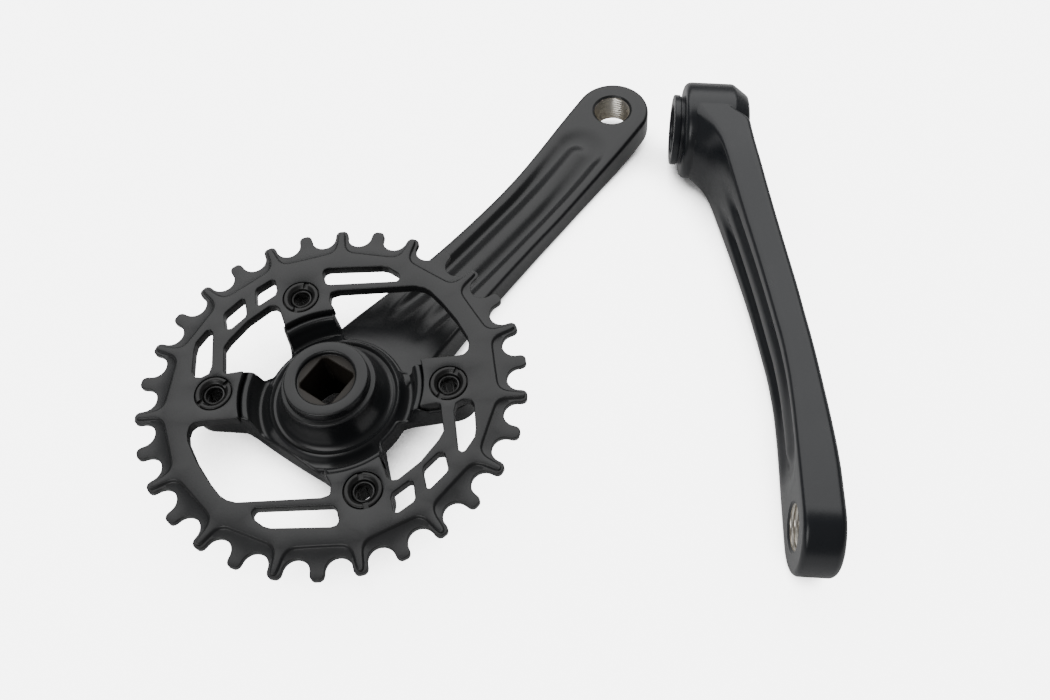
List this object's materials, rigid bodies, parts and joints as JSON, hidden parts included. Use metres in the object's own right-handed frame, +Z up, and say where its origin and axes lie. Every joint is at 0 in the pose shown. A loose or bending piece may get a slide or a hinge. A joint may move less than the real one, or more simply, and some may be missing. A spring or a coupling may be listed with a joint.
{
  "type": "bicycle crankset",
  "caption": "Square-taper bicycle crankset: a drive-side crank with its toothed chainring bolted to the integral spider, and a separate left crank arm.",
  "frame": {"origin": "centre of the footprint, on the floor the two cranks rest on", "axes": "+Z up; the drive crank lies outboard side down with its arm pointing 55.5 degrees from +X towards +Y, the left crank stands on its narrow edge along Y with its inboard side towards -X"},
  "size_m": [0.2197, 0.2202, 0.037],
  "materials": {
    "drive_crank_black": "satin black anodised",
    "left_crank_black": "satin black anodised",
    "chainring_black": "matt black anodised",
    "sleeve_nut_black": "black oxide",
    "chainring_bolt_black": "black oxide"
  },
  "bodies": {
    "drive_crank": {"drive_crank_arm": "drive_crank_black", "chainring": "chainring_black"},
    "left_crank": {"left_crank_arm": "left_crank_black"},
    "bolt_1": {"chainring_bolt_1": "chainring_bolt_black"},
    "nut_1": {"chainring_nut_1": "sleeve_nut_black"},
    "bolt_2": {"chainring_bolt_2": "chainring_bolt_black"},
    "nut_2": {"chainring_nut_2": "sleeve_nut_black"},
    "bolt_3": {"chainring_bolt_3": "chainring_bolt_black"},
    "nut_3": {"chainring_nut_3": "sleeve_nut_black"},
    "bolt_4": {"chainring_bolt_4": "chainring_bolt_black"},
    "nut_4": {"chainring_nut_4": "sleeve_nut_black"}
  },
  "joints": [
    {"name": "bolt_1_turn", "type": "hinge", "parent": "drive_crank", "child": "bolt_1", "pos_m": [-0.05969, -0.01074, 0.01537], "axis": [0.068, 0.099, -0.9928], "range_deg": [0, 2160.5]},
    {"name": "nut_1_back_off", "type": "slide", "parent": "drive_crank", "child": "nut_1", "axis": [-0.068, -0.099, 0.9928], "range_m": [0, 0.0045]},
    {"name": "bolt_2_turn", "type": "hinge", "parent": "drive_crank", "child": "bolt_2", "pos_m": [-0.0842, -0.04641, 0.01013], "axis": [0.068, 0.099, -0.9928], "range_deg": [0, 2160.5]},
    {"name": "nut_2_back_off", "type": "slide", "parent": "drive_crank", "child": "nut_2", "axis": [-0.068, -0.099, 0.9928], "range_m": [0, 0.0045]},
    {"name": "bolt_3_turn", "type": "hinge", "parent": "drive_crank", "child": "bolt_3", "pos_m": [-0.03289, -0.08167, 0.01013], "axis": [0.068, 0.099, -0.9928], "range_deg": [0, 2160.5]},
    {"name": "nut_3_back_off", "type": "slide", "parent": "drive_crank", "child": "nut_3", "axis": [-0.068, -0.099, 0.9928], "range_m": [0, 0.0045]},
    {"name": "bolt_4_turn", "type": "hinge", "parent": "drive_crank", "child": "bolt_4", "pos_m": [-0.00838, -0.04601, 0.01537], "axis": [0.068, 0.099, -0.9928], "range_deg": [0, 2160.5]},
    {"name": "nut_4_back_off", "type": "slide", "parent": "drive_crank", "child": "nut_4", "axis": [-0.068, -0.099, 0.9928], "range_m": [0, 0.0045]},
    {"name": "left_crank_lift", "type": "slide", "parent": "drive_crank", "child": "left_crank", "axis": [0, 0, 1], "range_m": [0, 0.12]}
  ],
  "couplings": [
    {"joint": "bolt_1_turn", "follows": "nut_1_back_off", "rad_per_m": 8377.6},
    {"joint": "bolt_2_turn", "follows": "nut_2_back_off", "rad_per_m": 8377.6},
    {"joint": "bolt_3_turn", "follows": "nut_3_back_off", "rad_per_m": 8377.6},
    {"joint": "bolt_4_turn", "follows": "nut_4_back_off", "rad_per_m": 8377.6}
  ]
}
